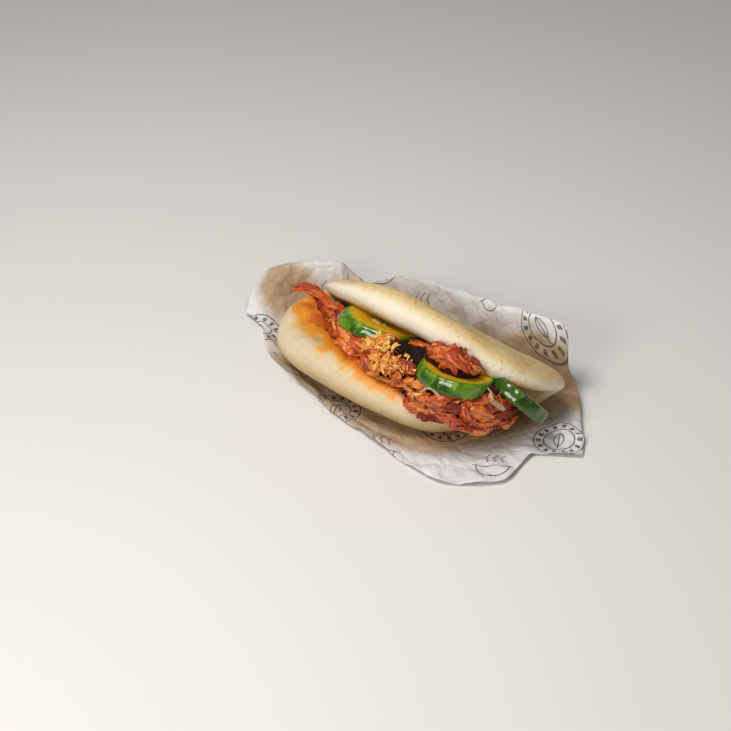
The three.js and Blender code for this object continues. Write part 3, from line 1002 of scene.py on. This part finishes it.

# %% [markdown]
# ## Pork finish
#
# Saucy meat is one of the glossiest things on a plate. The colour runs from nearly black red in the
# depth, where shade is painted in, to orange on the fibres that stand out, and a clear coat stands
# for the sauce. The coat varies, because some strands have soaked it up. Streaks of noise along
# each strand, in colour and in height together, give it its grain.

# %% Pork material
pork = Finish(
    "pork",
    Specular_IOR_Level=0.3,
    Subsurface_Weight=0.12,
    Subsurface_Radius=(1.0, 0.25, 0.1),
    Subsurface_Scale=0.002,
    Coat_Roughness=0.08,
)
own = carried(pork, "fibre", "Vector")
tone = carried(pork, "tone")
streaks = grain(pork, own, 0.42, 3.0, 0.6)
soaked = grain(pork, place_in_mm(pork), 6, 2.0)
shade = tone * 0.6 + (streaks - 0.5) * 1.3 + (soaked - 0.5) * 0.6 + 0.38
stops = [(0.0, "200804"), (0.25, "801f07"), (0.5, "c03d0c"), (0.76, "e66c18"), (1.0, "f49e46")]
near_top = tone.fade(-0.3, 0.1)
pork.wear(
    Base_Color=ramp(pork, shade, *stops),
    Roughness=0.6 - near_top * 0.35 + streaks * 0.3,
    Coat_Weight=soaked.fade(0.25, 0.5) * near_top,
    Normal=bump(pork, streaks, 0.5),
)

core_values = {"fibre": [point * 0.5 for point in core_points], "tone": core_shade_tones}
add_piece("pork_core", core_points, core_faces, pork, ["pork"], core_values)


def add_batch(name, batch, finish):
    add_piece(name, batch.points, batch.faces, finish, (), batch.values)


add_batch("pork_chunks", pork_chunks, pork)
add_batch("pork_strands", pork_strands, pork)
add_batch("pork_fibres", pork_fibres, pork)

# %% [markdown]
# ## Crisp onion
#
# Onion that has been fried dry curls into thin flakes with ragged edges and small blisters. Each
# flake starts as a flat turned disc. Noise makes its outline ragged and its faces blistered, and
# a bend rolls it up. They lie loose on top of the pork, so each is placed a little above the core
# and turned to lie roughly on it. Most of them are in two patches below the left slice.

# %% Onion flakes
# share along the heap, angle round it and count
ONION_SPOTS = [(0.39, 2.45, 26), (0.44, 2.05, 40), (0.47, 2.3, 10), (0.6, 1.8, 4), (0.8, 1.7, 3)]


def flake(dice, at, facing):
    long, wide, thick = dice.uniform(0.8, 2.6), dice.uniform(0.4, 1.0), dice.uniform(0.2, 0.36)
    curl, twist = dice.uniform(-0.22, 0.22), dice.uniform(-0.3, 0.3)
    seed = Vector((dice.uniform(-99, 99), dice.uniform(-99, 99), 0))
    lie = facing.to_track_quat("Z", "Y").to_matrix()
    lie = lie @ Matrix.Rotation(dice.uniform(0, math.tau), 3, "Z")
    lie = lie @ Matrix.Rotation(dice.gauss(0, 0.35), 3, "X")

    def on_flake(r, turn, h):
        ragged = 1 + 1.1 * noise.noise(seed + Vector((math.cos(turn), math.sin(turn), 0)) * 2.2)
        x, y = r * math.cos(turn) * long * ragged, r * math.sin(turn) * wide * ragged
        blister = 0.5 * noise.noise(seed + Vector((x, y, 0)) * 1.5)
        z = h * thick * (1 + blister) + blister + curl * x * x + twist * x * y
        return at + lie @ Vector((x, y, z))

    profile = [(0, -1), (0.4, -1), (0.75, -0.9), (0.95, -0.5), (1, 0)]
    profile += [(r, -h) for r, h in reversed(profile[:-1])]
    return turned(profile, 18, on_flake)


onion_flakes = Batch()
dice = random.Random(5)
for spot_share, spot_angle, count in ONION_SPOTS:
    for _ in range(count):
        share = dice.gauss(spot_share, 0.027)
        angle = dice.gauss(spot_angle, 0.15)
        at = clear_of_bread(heap_point(share, angle, dice.uniform(1.0, 2.5)), 0.8)
        facing = Vector((dice.gauss(0, 0.2), -math.sin(angle), -math.cos(angle)))
        if not in_the_way(at, -0.05):
            points, faces = flake(dice, at, facing)
            onion_flakes.take(points, faces, tone=[dice.uniform(0, 1)] * len(points))
print("faces of the flakes:", len(onion_flakes.faces))

# %% [markdown]
# ## Onion finish
#
# Frying browns the thin edges first and leaves the thick middle golden. Noise at the size of the
# blisters mixes the two, and the tone that each flake carries makes some darker than others. The
# oil leaves a dull shine, so the roughness is middling and there is no coat.

# %% Onion material
onion = Finish("crisp_onion", Subsurface_Weight=0.15, Subsurface_Scale=0.001)
blisters = grain(onion, place_in_mm(onion), 0.7, 3.0, 0.6)
fried = carried(onion, "tone") * 0.5 + blisters * 0.9 - 0.15
stops = [(0.1, "a84a12"), (0.35, "e2832a"), (0.65, "f5b454"), (1.0, "fcdc98")]
onion.wear(
    Base_Color=ramp(onion, fried, *stops),
    Roughness=0.35 + blisters * 0.3,
    Normal=bump(onion, blisters, 0.25),
)
add_batch("onion_flakes", onion_flakes, onion)

# %% [markdown]
# ## Pale shreds
#
# A few shreds, at the right end and below the middle slice, have hardly any sauce on them. They
# are strands like the others but their own piece, because their finish differs: less coat, and a
# pale colour that the red sauce tints only in places.

# %% Pale shreds
PALE = [  # radius, and a path as shares along the heap and angles round it
    (0.9, [(0.84, 2.62), (0.87, 2.5), (0.89, 2.38), (0.91, 2.25)]),
    (0.9, [(0.87, 2.35), (0.9, 2.25), (0.93, 2.15), (0.96, 2.0)]),
    (0.4, [(0.61, 1.78), (0.65, 1.95), (0.7, 1.85), (0.74, 1.68)]),
]
pale_shreds = Batch()
dice = random.Random(21)
for radius, places in PALE:
    path = [heap_point(share, angle, 1.8) for share, angle in places]
    bundle(pale_shreds, path, radius, 5, 0.6, dice, (radius * 0.4, radius * 0.9), (0.4, 0.9))

pale = Finish(
    "pale_meat",
    Subsurface_Weight=0.2,
    Subsurface_Radius=(1.0, 0.4, 0.25),
    Subsurface_Scale=0.002,
    Coat_Weight=0.2,
)
pale_streaks = grain(pale, carried(pale, "fibre", "Vector"), 0.4, 3.0, 0.6)
sauced = grain(pale, place_in_mm(pale), 4)
meat_colour = tint(pale, pale_streaks, "b98a62", "e6c9a0")
pale.wear(
    Base_Color=tint(pale, sauced.fade(0.5, 0.75), meat_colour, "b5552a"),
    Roughness=0.35 + pale_streaks * 0.25,
    Normal=bump(pale, pale_streaks, 0.25),
)
add_batch("pale_shreds", pale_shreds, pale)

# %% [markdown]
# ## Sauce on the bread
#
# Sauce soaks into the dough where the pork touches it and runs a little further in smears. Where
# the pork is can be measured, so each point of the bread carries a stain: strong next to the
# nearest strand and fading over a few millimetres. A short list adds the smears that were left
# when the filling went in. The finish then breaks the stain's edge up with noise.

# %% Stain carried by the bread's points
STAIN_REACH = 5.5  # mm over which the sauce fades
SMEARS = [  # place, size and strength
    (-54, -16, 20.5, 9, 1.15),
    (-45, -20, 19.8, 10, 1.25),
    (-42, -28, 20, 7, 0.8),
    (-51, -28, 20, 5, 0.55),
    (-29, -38, 21.3, 6, 0.6),
    (-15, -42, 20.6, 5, 0.55),
]
meat = KDTree(len(pork_strands.points))
for i, point in enumerate(pork_strands.points):
    meat.insert(point, i)
meat.balance()


def stain_at(point, lid, lip):
    """How much sauce a point of the bread has. Only its inner face and its lips take any."""
    gap = meat.find(point)[2]
    to_inner_face = inner_tree.find_nearest(point)[3]
    stain = math.exp(-((gap / STAIN_REACH) ** 2))
    for x, y, z, size, strength in SMEARS:
        away = (point - Vector((x, y, z))).length
        stain = max(stain, strength * math.exp(-((away / size) ** 2)))
    stain *= 1 - 0.85 * lid * smoothstep(lip, 0, 0.35)
    return stain * (1 - smoothstep(to_inner_face, 0.2, mix(4, 1, lid)))


stains = [stain_at(*values) for values in zip(bread_points, bread_lid, bread_lip_highlight)]
stained = sum(stain > 0.3 for stain in stains) / len(stains)
print("the bread is stained on", round(100 * stained), "% of its points")

# %% [markdown]
# ## Bread finish
#
# Steamed dough is cream rather than white, a little darker where the skin dried, and soft enough
# for light to spread inside it. That spread is what keeps it from looking like plaster, so there is
# subsurface scattering with a reach of some millimetres. Its skin is satin, with dimples of about a
# millimetre and rare larger pores, which come from bumps because they are far too fine for the
# mesh; the pores are also painted darker, as painted shade. The two values carried since the bread
# was made are used here too: off the lid the dough is painted darker, as painted shade on the lower
# half, and along the lips it is almost white, as a painted highlight.

# %% Bread material
bread = Finish(
    "steamed_bread",
    Specular_IOR_Level=0.25,
    Subsurface_Weight=0.3,
    Subsurface_Radius=(1.0, 0.6, 0.3),
    Subsurface_Scale=0.004,
)
place = place_in_mm(bread)
patches = grain(bread, place, 16, 2.0)
mottle = grain(bread, place, 2.2, 3.0, 0.55)
dimples = grain(bread, place, 0.9, 2.0)
pits = cells(bread, place, 3.4).fade(0.16, 0.04)
dry = (patches.fade(0.35, 0.7) * 0.45 + (mottle - 0.5) * 1.5 + 0.1).fade(0, 1)
dough = tint(bread, dry, "e0c790", "c9a362")
# Painted shade: the pores are painted darker, as shade in them.
dough = tint(bread, pits * 0.5, dough, "a98448")
# Painted shade: the lower half, off the lid, is painted darker.
dough = tint(bread, (1 - carried(bread, "lid")) * 0.6, dough, "b99b6c")
# Painted highlight: the dough is painted almost white along the lips.
dough = tint(bread, carried(bread, "lip") * 0.85, dough, "f7f0de")
sauce = carried(bread, "stain")
ragged = sauce + (grain(bread, place, 5, 3.0, 0.6) - 0.5) * 0.8 + (mottle - 0.5) * 0.3
oily = tint(bread, ragged.fade(0.1, 0.6) * 0.6, dough, "eab85e")
soak = ragged.fade(0.42, 0.72)
orange = tint(bread, ragged.fade(0.7, 1.3), "e8941a", "bc500a")
bread.wear(
    Base_Color=tint(bread, soak * 0.9, oily, orange),
    Roughness=0.5 - soak * 0.2 + dimples * 0.08,
    Normal=bump(bread, dimples * 0.5 + mottle * 0.8 - pits * 0.7, 0.45),
)
bread_values = {"stain": stains, "lip": bread_lip_highlight, "lid": bread_lid}
add_piece("bread", bread_points, bread_faces, bread, ["bun"], bread_values)

# %% [markdown]
# ## The sheet of paper
#
# The bun sits on one crumpled sheet of greaseproof paper. It is flat under the bread, stands up
# behind the fold, curls round the left end and lies on the table with its corners at the front
# and right. Cloth simulation would crumple it too, but it forgets where the corners were. So the
# sheet is spanned between a flat oval and an edge line through measured places, as in the CAD
# model, and its creases are added on top.
#
# Each point also carries where it would lie if the sheet were smoothed out, for the print.

# %% The sheet's middle surface
PAPER = 0.5  # thickness of the CAD sheet
PAPER_EDGE = [  # anticlockwise from the right, in mm
    (67, 8, 0),
    (58, 20, 3),
    (51, 23, 12),
    (47, 26, 29),
    (34, 25, 30),
    (16, 25, 27),
    (-4, 27, 24),
    (-24, 29, 22),
    (-41, 30, 16),
    (-53, 26, 9),
    (-60, 24, 12),
    (-67, 19, 20),
    (-79, 9, 20),
    (-88, -2, 19),
    (-91, -9, 11),
    (-91, -15, 2),
    (-79, -18, 0),
    (-74, -25, 2),
    (-62, -33, 0),
    (-42, -41, 2),
    (-18, -48, 0),
    (5, -53, 1),
    (26, -57, 0),
    (45, -58, 0),
    (63, -43, 0),
    (63, -22, 0),
    (79, -11, 0),
]
SHEET_CENTRE = Vector((-6, -15, PAPER / 2))
FOOT_LENGTH, FOOT_DEPTH, LARGEST_FOOT = 68, 32, 0.86
TENSION = 0.25
CREASE_HEIGHT = 0.9
CREASES = [(0.11, 0.05, 0.4), (-0.04, 0.16, 1.1), (0.21, -0.09, 2.0), (0.07, 0.25, 0.9)]


def edge_at(turn):
    """The sheet's edge at a turn (0 to 1) round it, on a smooth closed line."""
    count = len(PAPER_EDGE)
    place = turn % 1 * count
    i = int(place)
    t = place - i
    before, a, b, after = (Vector(PAPER_EDGE[(i + j) % count]) for j in (-1, 0, 1, 2))
    leave, arrive = TENSION * (b - before), TENSION * (after - a)
    curve = 2 * a - 2 * b + leave + arrive
    curve = curve * t + (3 * b - 3 * a - 2 * leave - arrive)
    return (curve * t + leave) * t + a + Vector((0, 0, PAPER / 2))


def sheet_point(turn, r):
    """A point of the smooth sheet, and how far it has left the flat part under the bread."""
    out = edge_at(turn) - SHEET_CENTRE
    x, y = SHEET_CENTRE.x + out.x * r, SHEET_CENTRE.y + out.y * r
    foot = min(1 / math.hypot(out.x / FOOT_LENGTH, out.y / FOOT_DEPTH), LARGEST_FOOT)
    rise = min(max((r - foot) / (1 - foot), 0), 1)
    folds = [abs(math.sin(kx * x + ky * y + start)) for kx, ky, start in CREASES]
    crumple = CREASE_HEIGHT * (folds[0] * folds[1] + folds[2] * folds[3])
    return Vector((x, y, PAPER / 2 + out.z * rise**1.4 + crumple * rise)), rise


edge = [edge_at(i / 400) for i in range(401)]
edge_length = sum((b - a).length for a, b in zip(edge, edge[1:]))
print("the sheet's edge is", round(edge_length), "mm long")

# %% [markdown]
# ## Creases and thickness
#
# Crumpled paper is made of flat facets that meet in sharp lines. Distances to scattered points
# have just that form: they grow evenly and turn sharply half way between two points. Two sizes of
# them push the sheet along its own normal, and they are much lower under the bread, where it is
# pressed flat. Finer facets are left to the bump of its finish. A Solidify modifier gives the
# sheet the thickness of real paper.
#
# Each point also carries how much stain and painted shade darken its colour, by three rules: stain
# and painted shade near the bread, painted shade near the meat that sticks out at the left, and the
# lid's painted shadow low behind the fold.

# %% Paper mesh
TURNS, RINGS = 432, 56
LARGE_FACET, SMALL_FACET = 15, 6  # mm across
LARGE_HEIGHT, SMALL_HEIGHT = 2.8, 1.0  # mm
STAIN_AND_SHADE_REACH = 20  # mm from the bread to where the sheet has no stain or painted shade
TIP_REACH, TIP_PAINTED_SHADE = (8, 26), 1.7  # mm from the left tip of the meat, and the painted shade next to it
LEFT_TIP = Vector(LOOSE[0][1][0])
SHEET_THICKNESS = 0.12
UNDER_BREAD = 0.3  # the rise up to which the sheet has to stay below the bread
bread_tree = BVHTree.FromPolygons(bread_points, bread_faces)


def crease(flat, size):
    """A height whose slope turns sharply along lines about size mm apart."""
    distances = noise.voronoi(flat / size)[0]
    return distances[1] - distances[0]


def stain_and_shade_at(point):
    """Stain and painted shade, 0 where the sheet is clean, 1 where it touches the bread, and up to
    1.7 of painted shade by the meat.
    """
    near_bread = 1 - smoothstep(bread_tree.find_nearest(point)[3], 1, STAIN_AND_SHADE_REACH)
    tip_shade = TIP_PAINTED_SHADE - smoothstep((point - LEFT_TIP).length, *TIP_REACH) * TIP_PAINTED_SHADE
    # Painted shadow of the lid, low on the sheet behind the fold.
    lid_shadow_behind = smoothstep(point.y, 6, 16) * (1 - smoothstep(point.z, 10, 34))
    return max(near_bread, tip_shade, lid_shadow_behind * mix(0.6, 1.4, smoothstep(point.x, 0, 40)))


sheet_rows, flat_rows, rises = [], [], []
for i in range(TURNS):
    row = [sheet_point(i / TURNS, j / RINGS) for j in range(1, RINGS + 1)]
    out = edge_at(i / TURNS) - SHEET_CENTRE
    way = Vector((out.x, out.y, 0)).normalized()
    run, flat, last = 0, [], SHEET_CENTRE
    for point, _ in row:
        run += (point - last).length
        flat.append(way * run)
        last = point
    sheet_rows.append([point for point, _ in row])
    rises.append([rise for _, rise in row])
    flat_rows.append(flat)

sheet_points, sheet_flat = [], []
for i in range(TURNS):
    for j in range(RINGS):
        point, flat, rise = sheet_rows[i][j], flat_rows[i][j], rises[i][j]
        outward = sheet_rows[i][min(j + 1, RINGS - 1)] - sheet_rows[i][max(j - 1, 0)]
        round_way = sheet_rows[(i + 1) % TURNS][j] - sheet_rows[i - 1][j]
        normal = outward.cross(round_way).normalized()
        facets = LARGE_HEIGHT * (0.45 - crease(flat, LARGE_FACET))
        facets += SMALL_HEIGHT * (0.4 - crease(flat + Vector((3, 9, 0)), SMALL_FACET))
        point = point + normal * facets * (0.12 + 0.88 * smoothstep(rise, 0, 0.5))
        point.z = max(point.z, SHEET_THICKNESS / 2)
        if rise < UNDER_BREAD:
            point.z = min(point.z, mix(FLOOR - 0.15, 3, rise / UNDER_BREAD))
        sheet_points.append(point)
        sheet_flat.append(flat)
sheet_points.append(Vector(SHEET_CENTRE))
sheet_flat.append(Vector((0, 0, 0)))
sheet_stain_and_shade = [stain_and_shade_at(point) for point in sheet_points]
centre = len(sheet_points) - 1
sheet_faces = []
for i in range(TURNS):
    a, b = i * RINGS, (i + 1) % TURNS * RINGS
    sheet_faces.append((centre, a, b))
    sheet_faces += [(a + j, a + j + 1, b + j + 1, b + j) for j in range(RINGS - 1)]
print("the sheet has", len(sheet_points), "points")

# %% [markdown]
# ## Paper finish with a loose print
#
# Greaseproof paper is a cool white with a faint sheen, and it lets some light through. This one
# has a sparse print in dark ink: a bowl with rising steam, and a dashed ring round a leaf. Both are
# drawn with distances, the usual way to make crisp line art without a picture. A place is inked
# where its distance to a line is under half the pen's width. The flat place is folded into cells,
# so that one drawing repeats over the whole sheet.
#
# Fat from the filling stains it near the bread, where shade is painted in too, and painted shade
# darkens it by the meat at the left and low behind the lid, as far as the value that each point
# carries says. Two sizes of facets and the paper's own fibre make its bump.

# %% Paper material
PEN = 0.55  # mm
CELL = 46  # mm

paper = Finish(
    "greaseproof_paper",
    Subsurface_Weight=0.15,
    Subsurface_Radius=(1.0, 1.0, 1.0),
    Subsurface_Scale=0.002,
)
flat = carried(paper, "flat", "Vector")
turned_flat = paper.add(
    "ShaderNodeVectorRotate",
    {"rotation_type": "Z_AXIS"},
    {"Vector": flat, "Angle": math.radians(-24)},
)
parts = [paper.add("ShaderNodeSeparateXYZ", None, {0: turned_flat}, axis) for axis in (0, 1)]


def folded(wire, size, offset):
    """The place within its own cell, from minus half a size to half a size."""
    share = wire / size + offset
    return (share - share.maths("FLOOR", share) - 0.5) * size


def off_ring(x, y, radius):
    away = (x * x + y * y) ** 0.5
    return abs(away - radius)


def ink(distance, wide=PEN):
    return distance.fade(wide / 2 + 0.12, wide / 2 - 0.12)


def drawn_bowl(x, y):
    """A half ring under a rim line, with three rising wisps of steam."""
    bowl = ink(off_ring(x, y, 6.5)) * y.fade(0.2, -0.2)
    rim_line = ink(abs(y)) * ink(abs(x), 16)
    wave = (y * 1.3).maths("SINE", y * 1.3) * 0.6
    wisps = ink(abs(abs(abs(x + wave) - 1.5) - 1.5)) * ink(abs(y - 5.5), 6)
    return bowl.most(rim_line).most(wisps)


def drawn_band(x, y):
    """Two rings with short dashes between them, as on a stamp, and a leaf inside."""
    turn = y.maths("ARCTAN2", y, x)
    dashes = (turn * 14).maths("SINE", turn * 14).fade(0.1, 0.4)
    away = (x * x + y * y) ** 0.5
    band = dashes * ink(abs(away - 8.2), 2.0)
    rings = ink(abs(away - 6.2)).most(ink(abs(away - 10.2)))
    leaf = ink(off_ring(abs(x) + 2.6, y, 4.6)).most(ink(abs(x)) * ink(abs(y + 1), 9))
    return band.most(rings).most(leaf)


drawn = drawn_bowl(folded(parts[0], CELL, 0.5), folded(parts[1], CELL, 0.5))
drawn = drawn.most(drawn_band(folded(parts[0], CELL, 0), folded(parts[1], CELL, 0)))
fibre = grain(paper, flat, 1.2, 3.0, 0.6)
cloud = grain(paper, flat, 14)
white = tint(paper, cloud, "dfdee1", "efeef1")
warm = carried(paper, "warm") + (cloud - 0.5) * 0.5
# Stain and painted shade tint the paper beige near the bread and behind the lid.
white = tint(paper, warm.fade(0.1, 1) * 0.9, white, "a98650")
# A deeper painted shade darkens it by the meat that sticks out at the left.
white = tint(paper, warm.fade(0.9, 1.6) * 0.7, white, "7a5634")
large = cells(paper, flat, 12, "DISTANCE_TO_EDGE")
small = cells(paper, flat, 4.5, "DISTANCE_TO_EDGE")
paper.wear(
    Base_Color=tint(paper, drawn * (0.75 + fibre * 0.2), white, "2b2a2c"),
    Roughness=0.42 + fibre * 0.15,
    Normal=bump(paper, large * 2.4 + small * 0.6 + fibre * 0.05, 1),
)
sheet_values = {"flat": sheet_flat, "warm": sheet_stain_and_shade}
sheet = add_piece("paper_sheet", sheet_points, sheet_faces, paper, ["paper"], sheet_values)
solidify = sheet.modifiers.new("thickness", "SOLIDIFY")
solidify.thickness = SHEET_THICKNESS * MM
solidify.offset = 0

# %% [markdown]
# ## Floor and light
#
# Food is lit by soft lamps that are still small enough to show as clear highlights in the sauce
# and on the skin of the cucumber. An area lamp in front plays a window, and a stronger one, nearly
# overhead, lights the lid. A weak one from the right keeps the shadows open, and a pale sky fills
# the rest. The floor is plain and pale, and it isn't part of the object.

# %% Lamps, sky and floor
def soft_lamp(name, azimuth, elevation, distance, size, watts, colour):
    data = bpy.data.lights.new(name, "AREA")
    data.shape = "RECTANGLE"
    data.size, data.size_y = size
    data.energy = watts
    data.color = paint(colour)[:3]
    lamp = bpy.data.objects.new(name, data)
    bpy.context.scene.collection.objects.link(lamp)
    look_from(lamp, math.radians(azimuth), math.radians(elevation), distance, Vector((0, -10, 15)))


soft_lamp("window", 3, 30, 620, (0.24, 0.18), 1.25, "fffaf2")
soft_lamp("overhead", -25, 70, 640, (0.3, 0.24), 2.8, "fbf8f4")
soft_lamp("fill", 95, 28, 700, (0.4, 0.4), 0.3, "fff4e6")

sky = bpy.data.worlds.new("sky")
sky.use_nodes = True
sky.node_tree.nodes["Background"].inputs["Color"].default_value = paint("f4f4f6")
sky.node_tree.nodes["Background"].inputs["Strength"].default_value = 0.17
bpy.context.scene.world = sky

FLOOR_SIZE = 3.0
floor_finish = Finish("floor", Base_Color=paint("e8e6e3"), Roughness=0.8)
floor_mesh = bpy.data.meshes.new("floor")
corners = [(-1, -1, 0), (1, -1, 0), (1, 1, 0), (-1, 1, 0)]
floor_mesh.from_pydata([Vector(c) * FLOOR_SIZE / 2 for c in corners], [], [(0, 1, 2, 3)])
floor_mesh.materials.append(floor_finish.material)
floor = bpy.data.objects.new("floor", floor_mesh)
bpy.context.scene.collection.objects.link(floor)
floor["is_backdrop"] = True
bpy.context.scene.view_settings.view_transform = "Standard"

# %% [markdown]
# ## Sizes, and the last line
#
# Both boxes are printed in millimetres, so that they can be compared.

# %% Write the sizes and finish
boxes = {"cad": cad_box, "visual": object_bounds()}
{name: [list(corner) for corner in box] for name, box in boxes.items()}
for name, (low, high) in boxes.items():
    print(name, "box in mm:", [round((b - a) / MM, 1) for a, b in zip(low, high)])
